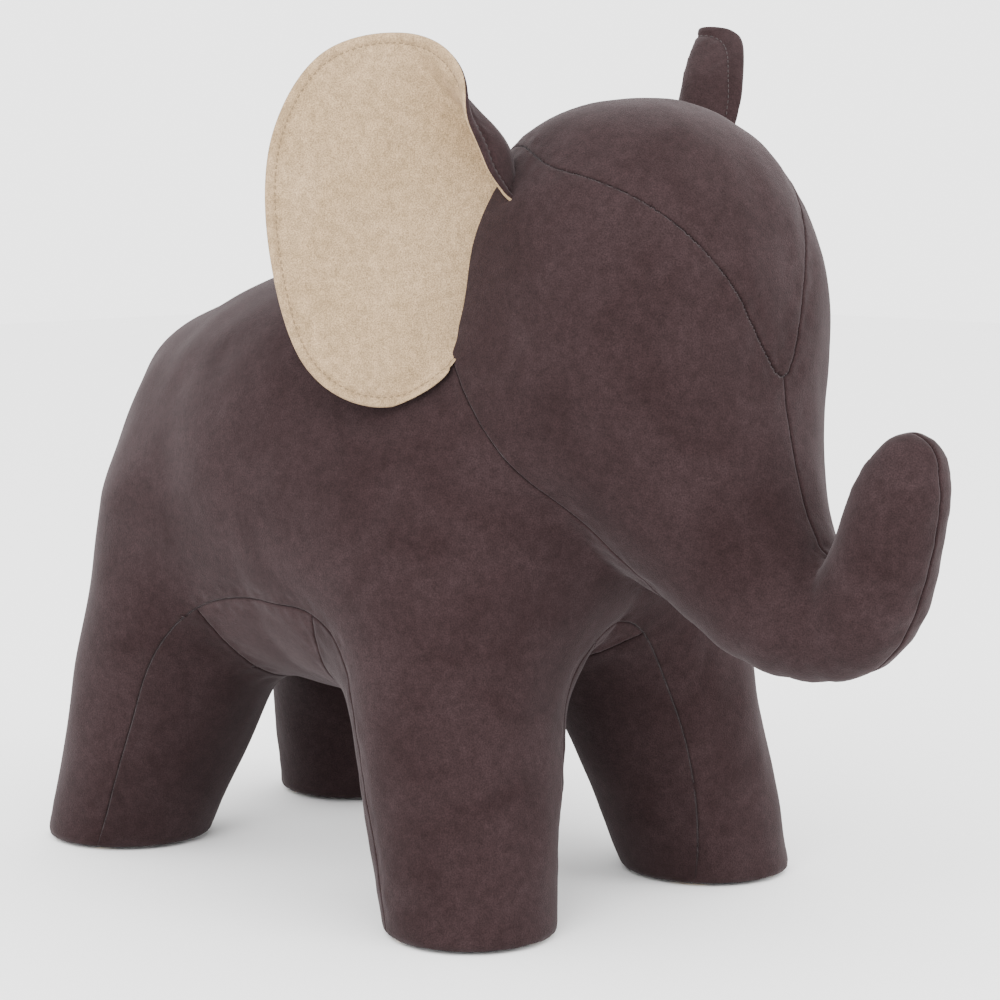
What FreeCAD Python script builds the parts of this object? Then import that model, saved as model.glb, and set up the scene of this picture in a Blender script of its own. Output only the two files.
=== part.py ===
# Upholstered elephant pouf: a timber frame, foam bodies, sewn covers, ears and a tail.
# Millimetres. +X is the way the elephant faces, +Y its left side, +Z up.
# The origin is on the floor under the middle of the bounding box.
import FreeCAD, Part
import math
import os

V = FreeCAD.Vector
doc = FreeCAD.newDocument("elephant_pouf")
sheet = doc.addObject("Spreadsheet::Sheet", "Sizes")

DIMENSIONS = [
    # torso ellipsoid, outside the cover
    ("torso_x", -115), ("torso_z", 299), ("torso_long", 235), ("torso_wide", 146), ("torso_high", 166),
    # feet: distance from the centre plane, and radius at the floor
    ("front_foot_x", 79), ("front_foot_y", 126), ("rear_foot_x", -321), ("rear_foot_y", 121),
    ("foot_radius", 61.5), ("foot_bottom", 2.5),
    # tops of the leg cones, and the round shoulders and hips over them
    ("leg_top_z", 248), ("front_top_x", 16), ("front_top_y", 86), ("rear_top_x", -252), ("rear_top_y", 83),
    ("leg_top_radius", 86), ("shoulder_z", 255), ("shoulder_radius", 97), ("shoulder_y", 80),
    # head ellipsoid
    ("head_x", 121), ("head_z", 418), ("head_long", 130), ("head_wide", 127), ("head_high", 155),
    # cloth and foam
    ("cover", 3),
    # timber frame
    ("board", 15), ("base_z", 235), ("base_front", 65), ("base_rear", -305), ("base_half", 95),
    ("rib_front_x", -30), ("rib_rear_x", -225), ("rib_half", 105), ("rib_side_z", 345), ("rib_top_z", 405),
    ("halving_z", 325), ("head_board", 12), ("post_radius", 20), ("disc_radius", 55), ("disc", 12),
    ("pad_radius", 50),
    # fasteners
    ("bolt_radius", 4), ("bolt_length", 55), ("washer_radius", 12), ("washer", 2), ("bolt_head", 5),
    ("screw_radius", 2), ("screw_length", 40), ("frame_screw_y", 60),
    ("bracket", 3), ("bracket_arm", 50), ("bracket_low", 280), ("bracket_high", 340), ("hole_edge", 15),
    ("small_bolt_radius", 3), ("small_head_radius", 6), ("small_head", 4), ("bracket_bolt_x", 15),
    ("rib_screw_length", 17), ("rib_screw_y", 40), ("rib_screw_head_radius", 4), ("rib_screw_head", 2),
    # ears: hinge line beside the head, sweep of the ear behind sideways, layer thicknesses
    ("ear_hinge_x", 54), ("ear_hinge_y", 120), ("ear_sweep", 35), ("ear_cloth", 2), ("ear_fill", 8),
    # forehead panel
    ("gusset_low", 395), ("gusset_half", 84), ("gusset_rear", -20), ("gusset_high", 645),
    # tail
    ("tail_x", -360), ("tail_z", 342), ("tail_long", 115), ("tail_radius", 7), ("tail_tip", 4),
    ("tail_slope", 6),
    # a space larger than the animal, for cutting shapes in half
    ("space_long", 500), ("space_wide", 300), ("space_high", 800),
    # underside panels: how far the cutting wedge reaches, and where it stops
    ("wedge_reach", 121.5), ("wedge_top", 205),
]
# Trunk sections in the centre plane, from the muzzle to the tip: x, z and radius; then the round tip.
TRUNK_ROUTE = [(160, 352, 68), (200, 292, 60), (243, 247, 51), (288, 228, 42), (329, 253, 37), (350, 309, 33)]
TRUNK_TIP = (353, 324, 32)
# Ear outline from the hinge line: outwards, and height. A pair of points in brackets is an arc.
EAR_OUTLINE = [
    (0, 384), [(46, 363), (91, 382)], [(121, 450), (126, 520)], [(104, 588), (53, 617)],
    [(22, 608), (4, 560)], (0, 535)]
for row, (alias, value) in enumerate(DIMENSIONS, 1):
    sheet.set("A%d" % row, alias)
    sheet.set("B%d" % row, str(value))
    sheet.setAlias("B%d" % row, alias)
doc.recompute()
SIDES = (("right", -1), ("left", 1))
ENDS = ("front", "rear")


def size(alias):
    return float(getattr(sheet, alias))


def bind(feature, prop, expression):
    """Tie a property to the sheet; a bare number stays a number."""
    words = str(expression)
    for alias, _ in sorted(DIMENSIONS, key=lambda pair: -len(pair[0])):
        words = words.replace("$" + alias, "Sizes." + alias)
    feature.setExpression(prop, words)
    return feature


def place(feature, x=0, y=0, z=0):
    for letter, value in zip("xyz", (x, y, z)):
        bind(feature, "Placement.Base." + letter, value)
    return feature


def box(name, low, high):
    """A board between two corners given as expressions."""
    made = doc.addObject("Part::Box", name)
    for prop, a, b in zip(("Length", "Width", "Height"), low, high):
        bind(made, prop, "(%s) - (%s)" % (b, a))
    return place(made, *low)


def cylinder(name, radius, height, at, turn=None):
    made = doc.addObject("Part::Cylinder", name)
    bind(made, "Radius", radius)
    bind(made, "Height", height)
    if turn is not None:
        made.Placement = FreeCAD.Placement(V(), turn)
    return place(made, *at)


def ellipsoid(name, centre, radii, inset):
    made = doc.addObject("Part::Ellipsoid", name)
    for prop, radius in zip(("Radius2", "Radius3", "Radius1"), radii):
        bind(made, prop, "%s - %s" % (radius, inset))
    return place(made, *centre)


def ball(name, radius, centre):
    made = doc.addObject("Part::Sphere", name)
    bind(made, "Radius", radius)
    return place(made, *centre)


def circle(name, radius, centre, lean=0.0):
    """A level circle, or one whose axis leans from +Z towards +X by `lean` degrees."""
    made = doc.addObject("Part::Circle", name)
    bind(made, "Radius", radius)
    made.Placement = FreeCAD.Placement(V(), FreeCAD.Rotation(V(0, 1, 0), lean))
    return place(made, *centre)


def loft(name, sections, ruled):
    made = doc.addObject("Part::Loft", name)
    made.Sections = sections
    made.Solid = True
    made.Ruled = ruled
    return made


def fuse(name, pieces):
    made = doc.addObject("Part::MultiFuse", name)
    made.Shapes = pieces
    return made


def common(name, pieces):
    made = doc.addObject("Part::MultiCommon", name)
    made.Shapes = pieces
    return made


def cut(name, base, tool):
    made = doc.addObject("Part::Cut", name)
    made.Base = base
    made.Tool = tool
    return made


def group(name, pieces):
    made = doc.addObject("Part::Compound", name)
    made.Links = pieces
    return made


def mirrored(name, source):
    """The same piece on the other side of the centre plane."""
    made = doc.addObject("Part::Mirroring", name)
    made.Source = source
    made.Base = V(0, 0, 0)
    made.Normal = V(0, 1, 0)
    return made


def profile_board(name, outline, thickness):
    """A board sawn to an outline in the XZ plane, centred on the body's own XZ plane.

    The outline is a list of points; a pair of points in brackets is an arc's middle and end.
    """
    body = doc.addObject("PartDesign::Body", name)
    sketch = body.newObject("Sketcher::SketchObject", name + "_outline")
    plane = [f for f in body.Origin.OriginFeatures if f.Role == "XZ_Plane"][0]
    sketch.AttachmentSupport = (plane, [""])
    sketch.MapMode = "FlatFace"
    last = outline[-1][-1] if isinstance(outline[-1], list) else outline[-1]
    for step in outline:
        if isinstance(step, list):
            middle, end = step
            sketch.addGeometry(Part.Arc(V(*last), V(*middle), V(*end)), False)
        else:
            end = step
            sketch.addGeometry(Part.LineSegment(V(*last), V(*end)), False)
        last = end
    pad = body.newObject("PartDesign::Pad", name + "_pad")
    pad.Profile = sketch
    bind(pad, "Length", thickness)
    pad.Midplane = True
    return body


# ---------------------------------------------------------------- shape of the whole animal

def leg_place(end, sign):
    """Foot and top centres of one leg's cone."""
    foot = ["$%s_foot_x" % end, "%d * $%s_foot_y" % (sign, end), "$foot_bottom"]
    top = ["$%s_top_x" % end, "%d * $%s_top_y" % (sign, end), "$leg_top_z"]
    return foot, top


def leg_cone(end, side, sign, inset):
    name = "%s_%s_cone_%s" % (end, side, "inner" if inset != "0" else "outer")
    foot, top = leg_place(end, sign)
    low = circle(name + "_low", "$foot_radius - " + inset, foot)
    high = circle(name + "_high", "$leg_top_radius - " + inset, top)
    return loft(name, [low, high], True)


def torso_shape(inset):
    """Torso, shoulders and hips, without the leg cones."""
    word = "inner" if inset != "0" else "outer"
    pieces = [ellipsoid("torso_" + word, ["$torso_x", 0, "$torso_z"],
                        ["$torso_long", "$torso_wide", "$torso_high"], inset)]
    for end in ENDS:
        for side, sign in SIDES:
            centre = ["$%s_top_x" % end, "%d * $shoulder_y" % sign, "$shoulder_z"]
            name = "%s_%s_shoulder_%s" % (end, side, word)
            pieces.append(ball(name, "$shoulder_radius - " + inset, centre))
    return fuse("trunkless_" + word, pieces)


def trunk_shape(inset):
    """The snout and trunk: round sections along a hook in the centre plane, and a ball at the tip."""
    word = "inner" if inset != "0" else "outer"
    sections = []
    for index, (x, z, radius) in enumerate(TRUNK_ROUTE):
        before = TRUNK_ROUTE[max(index - 1, 0)]
        after = TRUNK_ROUTE[min(index + 1, len(TRUNK_ROUTE) - 1)]
        lean = math.degrees(math.atan2(after[0] - before[0], after[1] - before[1]))
        name = "trunk_section_%s_%d" % (word, index)
        sections.append(circle(name, "%g - %s" % (radius, inset), [x, 0, z], lean))
    tip_x, tip_z, tip_radius = TRUNK_TIP
    tip = ball("trunk_tip_" + word, "%g - %s" % (tip_radius, inset), [tip_x, 0, tip_z])
    return fuse("trunk_" + word, [loft("trunk_hose_" + word, sections, False), tip])


OUT, IN = "0", "$cover"
head_in, head_out = (ellipsoid("head_" + word, ["$head_x", 0, "$head_z"],
                               ["$head_long", "$head_wide", "$head_high"], inset)
                     for word, inset in (("inner", IN), ("outer", OUT)))
torso_in, torso_out = torso_shape(IN), torso_shape(OUT)
trunk_in, trunk_out = trunk_shape(IN), trunk_shape(OUT)
cones_in = {}
cones_out = {}
for end in ENDS:
    for side, sign in SIDES:
        cones_in[end, side] = leg_cone(end, side, sign, IN)
        cones_out[end, side] = leg_cone(end, side, sign, OUT)
below_board = box("below_board", ["-$space_long", "-$space_wide", 0], ["$space_long", "$space_wide", "$base_z"])
above_board = box("above_board", ["-$space_long", "-$space_wide", "$base_z"],
                  ["$space_long", "$space_wide", "$space_high"])

# ---------------------------------------------------------------- timber frame and fasteners

base_blank = box("base_blank", ["$base_rear", "-$base_half", "$base_z"],
                 ["$base_front", "$base_half", "$base_z + $board"])
board_top = size("base_z") + size("board")
spine_blank = profile_board("spine_blank", [
    (-300, board_top), (size("rib_front_x"), board_top), (size("rib_front_x"), 415),
    [(-130, 425), (-300, 340)]], "$board")
slot_high = box("slot_high", ["$rib_rear_x", "-$board / 2", "$halving_z"],
                ["$rib_rear_x + $board", "$board / 2", "$space_high"])
slot_low = box("slot_low", ["$rib_rear_x", "-$board / 2", "$base_z + $board"],
               ["$rib_rear_x + $board", "$board / 2", "$halving_z"])


def rib(name, x):
    """A cross board with an arched top, standing on the base board."""
    body = doc.addObject("PartDesign::Body", name)
    sketch = body.newObject("Sketcher::SketchObject", name + "_outline")
    plane = [f for f in body.Origin.OriginFeatures if f.Role == "YZ_Plane"][0]
    sketch.AttachmentSupport = (plane, [""])
    sketch.MapMode = "FlatFace"
    half, side_z, top_z = size("rib_half"), size("rib_side_z"), size("rib_top_z")
    corners = [V(-half, side_z), V(-half, board_top), V(half, board_top), V(half, side_z)]
    for start, stop in zip(corners, corners[1:]):
        sketch.addGeometry(Part.LineSegment(start, stop), False)
    sketch.addGeometry(Part.Arc(corners[-1], V(0, top_z), corners[0]), False)
    pad = body.newObject("PartDesign::Pad", name + "_pad")
    pad.Profile = sketch
    bind(pad, "Length", "$board")
    return place(body, x)


rib_front_blank = rib("rib_front_blank", "$rib_front_x")
rib_rear_blank = rib("rib_rear_blank", "$rib_rear_x")
rib_face = size("rib_front_x") + size("board")
head_blank = profile_board("head_blank", [
    (rib_face, board_top), (60, board_top), (120, 300), (168, 335), (188, 420),
    [(165, 500), (105, 530)], [(45, 505), (15, 430)], (rib_face, 400)], "$head_board")

posts = {}
leg_bolts = []
leg_washers = []
foot_screws = []
for end in ENDS:
    for side, sign in SIDES:
        spot = "%s_%s" % (end, side)
        share = (size("base_z") - size("foot_bottom")) / (size("leg_top_z") - size("foot_bottom"))
        low_share = size("disc") / (size("leg_top_z") - size("foot_bottom"))
        foot, top = leg_place(end, sign)
        low, high = [], []
        for axis in (0, 1):
            low.append("(%s) + %.5f * ((%s) - (%s))" % (foot[axis], low_share, top[axis], foot[axis]))
            high.append("(%s) + %.5f * ((%s) - (%s))" % (foot[axis], share, top[axis], foot[axis]))
        posts[spot] = loft("post_" + spot, [
            circle("post_low_" + spot, "$post_radius", low + ["$foot_bottom + $disc"]),
            circle("post_high_" + spot, "$post_radius", high + ["$base_z"])], True)
        leg_washers.append(cylinder("washer_" + spot, "$washer_radius", "$washer",
                                    high + ["$base_z + $board"]))
        shank = cylinder("bolt_shank_" + spot, "$bolt_radius", "$bolt_length + $washer",
                         high + ["$base_z + $board - $bolt_length"])
        head = cylinder("bolt_head_" + spot, "$bolt_radius * 1.7", "$bolt_head",
                        high + ["$base_z + $board + $washer"])
        leg_bolts.append(fuse("bolt_" + spot, [shank, head]))
        foot_screws.append(cylinder("foot_screw_" + spot, "$screw_radius", "$screw_length",
                                    low + ["$foot_bottom"]))
leg_bolts = group("leg_bolts", leg_bolts)
foot_screws = group("foot_screws", foot_screws)
leg_washers = cut("leg_washers", group("washer_blanks", leg_washers), leg_bolts)

frame_screws = []
for number, (x, y) in enumerate([
        ("$rib_front_x + $board / 2", "$frame_screw_y"), ("$rib_front_x + $board / 2", "-$frame_screw_y"),
        ("$rib_rear_x + $board / 2", "$frame_screw_y"), ("$rib_rear_x + $board / 2", "-$frame_screw_y"),
        ("$rib_rear_x + 7 * $board", 0), ("$rib_rear_x - 3 * $board", 0)]):
    frame_screws.append(cylinder("frame_screw_%d" % number, "$screw_radius", "$screw_length",
                                 [x, y, "$base_z"]))
frame_screws = group("frame_screws", frame_screws)

sideways = FreeCAD.Rotation(V(1, 0, 0), -90)
backwards = FreeCAD.Rotation(V(0, 1, 0), -90)
bracket_bolts = []
bracket_screws = []
for number, level in enumerate(("$bracket_low + $hole_edge", "$bracket_high - $hole_edge")):
    reach = "($head_board / 2 + $bracket + $small_head)"
    start = ["$bracket_bolt_x", "-" + reach, level]
    shank = cylinder("bracket_shank_%d" % number, "$small_bolt_radius", "2 * " + reach, start, sideways)
    head = cylinder("bracket_bolt_head_%d" % number, "$small_head_radius", "$small_head", start, sideways)
    nut = cylinder("bracket_nut_%d" % number, "$small_head_radius", "$small_head",
                   ["$bracket_bolt_x", reach + " - $small_head", level], sideways)
    bracket_bolts.append(fuse("bracket_bolt_%d" % number, [shank, head, nut]))
    for side, sign in SIDES:
        spot = ["$rib_front_x + $board + $bracket + $rib_screw_head", "%d * $rib_screw_y" % sign, level]
        name = "%s_%d" % (side, number)
        shank = cylinder("rib_screw_" + name, "$screw_radius", "$rib_screw_length", spot, backwards)
        head = cylinder("rib_screw_head_" + name, "$rib_screw_head_radius", "$rib_screw_head", spot, backwards)
        bracket_screws.append(fuse("bracket_screw_%s_%d" % (side, number), [shank, head]))
bracket_bolts = group("bracket_bolts", bracket_bolts)
bracket_screws = group("bracket_screws", bracket_screws)


def bracket(name):
    """Left-hand steel angle between the front rib and the head board."""
    arm_y = "$head_board / 2"
    on_rib = box(name + "_on_rib", ["$rib_front_x + $board", arm_y, "$bracket_low"],
                 ["$rib_front_x + $board + $bracket", arm_y + " + $bracket_arm", "$bracket_high"])
    on_board = box(name + "_on_board", ["$rib_front_x + $board", arm_y, "$bracket_low"],
                   ["$rib_front_x + $board + $bracket_arm", arm_y + " + $bracket", "$bracket_high"])
    return fuse(name + "_blank", [on_rib, on_board])


bracket_blank = bracket("bracket_angle")
all_screws = group("all_fasteners", [leg_bolts, frame_screws, foot_screws, bracket_bolts, bracket_screws])
neck_bracket_left = cut("neck_bracket_left", bracket_blank, all_screws)
neck_bracket_right = cut("neck_bracket_right", mirrored("bracket_mirror", bracket_blank), all_screws)
base_board = cut("base_board", base_blank, all_screws)
spine_board = cut("spine_board", cut("spine_slotted", spine_blank, slot_high), all_screws)
rib_rear = cut("rear_rib", cut("rib_rear_slotted", rib_rear_blank, slot_low), all_screws)
rib_front = cut("front_rib", rib_front_blank, all_screws)
head_board = cut("head_board_panel", head_blank, all_screws)
timber = group("timber", [base_board, spine_board, rib_rear, rib_front, head_board, neck_bracket_left,
                          neck_bracket_right, leg_washers, all_screws])
nodes = {"base_board": base_board, "spine_board": spine_board, "rear_rib": rib_rear,
         "front_rib": rib_front, "head_board": head_board, "neck_bracket_left": neck_bracket_left,
         "neck_bracket_right": neck_bracket_right, "leg_bolts": leg_bolts, "leg_washers": leg_washers,
         "foot_screws": foot_screws, "frame_screws": frame_screws, "bracket_bolts": bracket_bolts,
         "bracket_screws": bracket_screws}

for end in ENDS:
    for side, sign in SIDES:
        spot = "%s_%s" % (end, side)
        foot = ["$%s_foot_x" % end, "%d * $%s_foot_y" % (sign, end)]
        nodes["foot_pad_" + spot] = cylinder("pad_" + spot, "$pad_radius", "$foot_bottom", foot + [0])
        disc = cylinder("disc_" + spot, "$disc_radius", "$disc", foot + ["$foot_bottom"])
        nodes["foot_disc_" + spot] = cut("foot_disc_" + spot, disc, foot_screws)
        post = cut("leg_post_bolted_" + spot, posts[spot], leg_bolts)
        nodes["leg_post_" + spot] = cut("leg_post_" + spot, post, foot_screws)

# ---------------------------------------------------------------- foam

cones_in_all = fuse("cones_in_all", list(cones_in.values()))
cones_out_all = fuse("cones_out_all", list(cones_out.values()))
seat_raw = common("seat_raw", [torso_in, above_board])
nodes["seat_foam"] = cut("seat_foam", cut("seat_hollow", seat_raw, head_in), timber)
belly_raw = common("belly_raw", [torso_in, below_board])
nodes["belly_foam"] = cut("belly_foam", belly_raw, cones_in_all)
for end in ENDS:
    for side, sign in SIDES:
        spot = "%s_%s" % (end, side)
        blank = common("leg_foam_blank_" + spot, [cones_in[end, side], below_board])
        hollow = cut("leg_foam_bored_" + spot, blank, posts[spot])
        seated = cut("leg_foam_seated_" + spot, hollow, nodes["foot_disc_" + spot])
        nodes["leg_foam_" + spot] = cut("leg_foam_" + spot, seated, foot_screws)
nodes["neck_foam"] = cut("neck_foam", common("neck_raw", [seat_raw, head_in]), timber)
front_of_torso = cut("front_of_torso", head_in, torso_in)
head_raw = cut("head_raw", front_of_torso, head_board)
left_half = box("left_half", ["-$space_long", 0, 0], ["$space_long", "$space_wide", "$space_high"])
nodes["head_foam_left"] = common("head_foam_left", [head_raw, left_half])
nodes["head_foam_right"] = mirrored("head_foam_right", nodes["head_foam_left"])
trunk_free = cut("trunk_free", trunk_in, fuse("behind_trunk", [head_in, torso_in]))
nodes["trunk_foam"] = cut("trunk_foam", trunk_free, head_board)

# ---------------------------------------------------------------- sewn cover of the body

body_out = fuse("body_out", [torso_out] + list(cones_out.values()))
body_in = fuse("body_in", [torso_in] + list(cones_in.values()))
body_shell = cut("body_shell", cut("body_skin", body_out, body_in), head_out)


def underside(name):
    """The wedge that cuts the underside panels: its edges run down the middle of each leg."""
    levels = []
    reach = size("wedge_reach")
    for z in (0.0, size("wedge_top")):
        share = z / size("leg_top_z")
        points = []
        for end, out in (("front", 1), ("rear", -1)):
            foot = V(size(end + "_foot_x"), size(end + "_foot_y"), 0)
            top = V(size(end + "_top_x"), size(end + "_top_y"), 0)
            axis = foot + (top - foot) * share
            front_seam = axis + V(reach * out, -0.35 * reach, 0)
            rear_seam = axis + V(-reach * out, 0.25 * reach, 0)
            points.append([V(axis.x + reach * out, 0, z), V(front_seam.x, front_seam.y, z),
                           V(axis.x, axis.y, z), V(rear_seam.x, rear_seam.y, z)])
        left = points[0][1:] + points[1][:0:-1]
        right = [V(p.x, -p.y, p.z) for p in reversed(left)]
        ring = left + right
        levels.append(Part.makePolygon(ring + ring[:1]))
    made = doc.addObject("Part::Feature", name)
    made.Shape = Part.makeLoft(levels, True, True)
    return made


wedge = underside("underside_wedge")
under_shell = common("under_shell", [body_shell, wedge])
nodes["belly_panel"] = cut("belly_panel", under_shell, cones_out_all)
for end in ENDS:
    for side, sign in SIDES:
        spot = "%s_%s" % (end, side)
        nodes["inner_leg_panel_" + spot] = common("inner_leg_panel_" + spot,
                                                  [under_shell, cones_out[end, side]])
nodes["body_coat"] = cut("body_coat", body_shell, wedge)

# ---------------------------------------------------------------- sewn cover of the head and trunk

head_and_trunk = fuse("head_and_trunk", [head_out, trunk_out])
head_and_trunk_in = fuse("head_and_trunk_in", [head_in, trunk_in])
head_skin = cut("head_skin", cut("head_skin_whole", head_and_trunk, head_and_trunk_in), torso_out)
gusset_x = size("head_x") + size("head_long") + 2
gusset_rear, gusset_half, gusset_low = size("gusset_rear"), size("gusset_half"), size("gusset_low")
gusset_ring = [V(gusset_x, 0, gusset_low), V(gusset_rear, gusset_half, gusset_low),
               V(gusset_rear, -gusset_half, gusset_low), V(gusset_x, 0, gusset_low)]
gusset_wedge = doc.addObject("Part::Feature", "gusset_wedge")
gusset_wedge.Shape = Part.Face(Part.makePolygon(gusset_ring)).extrude(V(0, 0, size("gusset_high") - gusset_low))
nodes["forehead_gusset"] = common("forehead_gusset", [head_skin, gusset_wedge])
head_sides = cut("head_sides", head_skin, gusset_wedge)
nodes["head_panel_left"] = common("head_panel_left", [head_sides, left_half])
nodes["head_panel_right"] = mirrored("head_panel_right", nodes["head_panel_left"])

# ---------------------------------------------------------------- ears

def ear_layer(name, offset, thickness):
    """One layer of the left ear, drawn flat and stood along the ear's sweep."""
    body = profile_board(name, EAR_OUTLINE, thickness)
    sweep = math.radians(90 + size("ear_sweep"))
    out = V(math.cos(sweep), math.sin(sweep), 0)
    normal = V(0, 0, 1).cross(out)
    shift = normal * offset
    turn = FreeCAD.Rotation(out, normal, V(0, 0, 1), "XYZ")
    body.Placement = FreeCAD.Placement(V(size("ear_hinge_x"), size("ear_hinge_y"), 0) + shift, turn)
    return body


layer_offset = (size("ear_cloth") + size("ear_fill")) / 2
EAR_LAYERS = (("ear_back", layer_offset, "$ear_cloth"), ("ear_pad", 0.0, "$ear_fill"),
              ("ear_front", -layer_offset, "$ear_cloth"))
for word, offset, thickness in EAR_LAYERS:
    nodes[word + "_left"] = ear_layer(word + "_left_body", offset, thickness)
    nodes[word + "_right"] = mirrored(word + "_right_mirror", nodes[word + "_left"])

# ---------------------------------------------------------------- tail

tail_top = circle("tail_top", "$tail_tip", ["$tail_x", 0, "$tail_z"])
tail_middle = circle("tail_middle", "$tail_radius", ["$tail_x - $tail_slope", 0, "$tail_z - 0.6 * $tail_long"])
tail_end = circle("tail_end", "$tail_tip", ["$tail_x - $tail_slope", 0, "$tail_z - $tail_long"])
nodes["tail"] = loft("tail_hose", [tail_end, tail_middle, tail_top], False)

# ---------------------------------------------------------------- check and write

doc.recompute()
for feature in doc.Objects:
    if "Invalid" in feature.State or "Error" in feature.State:
        raise SystemExit("failed feature: %s %s" % (feature.Name, feature.State))
os.makedirs("parts", exist_ok=True)
for node, feature in nodes.items():
    shape = feature.Shape
    if shape.isNull() or not shape.isValid() or not shape.Solids:
        raise SystemExit("bad shape: " + node)
for node, feature in nodes.items():
    feature.Label = node
    shape = feature.Shape
    shape.exportStep("parts/%s.step" % node)
    bound = shape.BoundBox
    print("%-32s %2d solids %10.0f mm3  x %7.1f %7.1f  y %7.1f %7.1f  z %6.1f %6.1f" % (
        node, len(shape.Solids), shape.Volume, bound.XMin, bound.XMax, bound.YMin, bound.YMax,
        bound.ZMin, bound.ZMax))
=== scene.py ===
import math

import bpy
import numpy as np
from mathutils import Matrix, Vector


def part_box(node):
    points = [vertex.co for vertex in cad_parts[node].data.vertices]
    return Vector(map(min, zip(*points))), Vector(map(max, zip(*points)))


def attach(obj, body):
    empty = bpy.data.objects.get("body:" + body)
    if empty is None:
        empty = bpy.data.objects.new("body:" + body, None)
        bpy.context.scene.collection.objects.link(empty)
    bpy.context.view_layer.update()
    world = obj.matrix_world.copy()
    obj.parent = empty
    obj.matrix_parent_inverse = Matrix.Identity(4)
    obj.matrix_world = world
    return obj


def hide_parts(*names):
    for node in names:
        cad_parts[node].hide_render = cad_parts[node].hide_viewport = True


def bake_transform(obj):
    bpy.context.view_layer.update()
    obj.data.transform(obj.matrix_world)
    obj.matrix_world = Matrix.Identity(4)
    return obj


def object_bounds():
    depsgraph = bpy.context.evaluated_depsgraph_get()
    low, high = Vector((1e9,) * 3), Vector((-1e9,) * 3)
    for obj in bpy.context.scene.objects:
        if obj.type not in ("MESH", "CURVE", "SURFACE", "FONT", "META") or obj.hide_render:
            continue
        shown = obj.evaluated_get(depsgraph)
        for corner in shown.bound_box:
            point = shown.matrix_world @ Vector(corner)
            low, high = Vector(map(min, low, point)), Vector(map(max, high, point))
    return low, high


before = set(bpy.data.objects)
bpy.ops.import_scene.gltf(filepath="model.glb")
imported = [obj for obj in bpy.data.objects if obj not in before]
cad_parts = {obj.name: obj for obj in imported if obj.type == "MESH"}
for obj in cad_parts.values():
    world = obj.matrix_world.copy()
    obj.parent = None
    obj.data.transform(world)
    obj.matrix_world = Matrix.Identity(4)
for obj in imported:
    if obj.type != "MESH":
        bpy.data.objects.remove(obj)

import openvdb
from mathutils import Vector
from mathutils.kdtree import KDTree

cad_low, cad_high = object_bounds()
MM = 0.001
SIDES = (("right", -1), ("left", 1))

# ------------------------------------------------------------------------------------- camera

CAMERA_PLACE = (1.424, -1.4358, 0.5364)
CAMERA_PITCH = 7.087
CAMERA_TURN = 45.143
CAMERA_LENS = 99.83

lens = bpy.data.cameras.new("camera")
lens.lens = CAMERA_LENS
lens.sensor_width = 36
camera = bpy.data.objects.new("camera", lens)
camera.location = CAMERA_PLACE
camera.rotation_euler = (math.radians(90 - CAMERA_PITCH), 0, math.radians(CAMERA_TURN))
bpy.context.scene.collection.objects.link(camera)
bpy.context.scene.camera = camera

# ------------------------------------------------------------------------------ places, in mm


def middle(node):
    """Centre of a CAD node's box, in mm."""
    low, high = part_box(node)
    return np.array((low + high) / 2) / MM


FOOT = {end: middle("foot_pad_%s_left" % end)[:2] for end in ("front", "rear")}
FOOT_RADIUS = 60.4
SOLE, SOLE_ROUNDING = 2.4, 4
LEG_TOP_Z = 248
LEG_TOP = {"front": (16, 86), "rear": (-252, 79)}
LEG_TOP_RADIUS = {"front": 87, "rear": 92}
LEG_BLEND = 78
RUMP = dict(centre=(-131, 0, 351), radii=(221, 150, 92), power=2.25)
CHEST = dict(centre=(-103, 0, 290), radii=(118, 165, 137), power=2.25)
TORSO_BLEND = 76
BREAST = dict(centre=(35, 0, 300), radius=108)
# the neck is a round bar, flattened below towards the head so that the jaw overhangs the breast
NECK = dict(start=(-103, 0, 290), end=(72, 0, 349), radius=149, narrow=0.42, flatten=0.3)
SKULL = dict(centre=(121, 0, 418), radii=(127, 123, 158), power=2.25, lean=0.11)
MUZZLE = dict(start=(131, 0, 398), end=(182, 0, 310), start_radius=68, end_radius=59, blend=57)
# the trunk leaves the muzzle, runs round the underside of a U-bend and rises straight to its tip
TRUNK_BEND = dict(centre=(283, 276), radius=50, turns=(216, 285, 338))
TRUNK_TIP = (354, 336)
TRUNK_RADII = dict(bend=(53, 39, 37), riser=33, tip=24)
TRUNK_RISER_SHARE = 0.68


def trunk_stations():
    """x, z and radius along the trunk's centre line."""
    found = [(MUZZLE["end"][0], MUZZLE["end"][2], MUZZLE["end_radius"])]
    (x, z), reach = TRUNK_BEND["centre"], TRUNK_BEND["radius"]
    for turn, radius in zip(TRUNK_BEND["turns"], TRUNK_RADII["bend"]):
        angle = math.radians(turn)
        found.append((x + reach * math.cos(angle), z + reach * math.sin(angle), radius))
    riser = [a + (b - a) * TRUNK_RISER_SHARE for a, b in zip(found[-1], TRUNK_TIP)]
    found.append((*riser, TRUNK_RADII["riser"]))
    return found + [(*TRUNK_TIP, TRUNK_RADII["tip"])]


TRUNK_BLEND = 50
# the neck runs smoothly into the body and head at the sides, and meets them in a crease below
CREASE_LOW, CREASE_HIGH = 262, 335
CREASE_FRONT, CREASE_LENGTH = 90, 90
NECK_BLEND = (8, 80)
HEAD_BLEND = (8, 44)

# ----------------------------------------------------------------------- the animal's surface


def smooth_min(a, b, reach):
    share = np.clip(0.5 + 0.5 * (b - a) / reach, 0, 1)
    return b * (1 - share) + a * share - reach * share * (1 - share)


def smooth_max(a, b, reach):
    return -smooth_min(-a, -b, reach)


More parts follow.
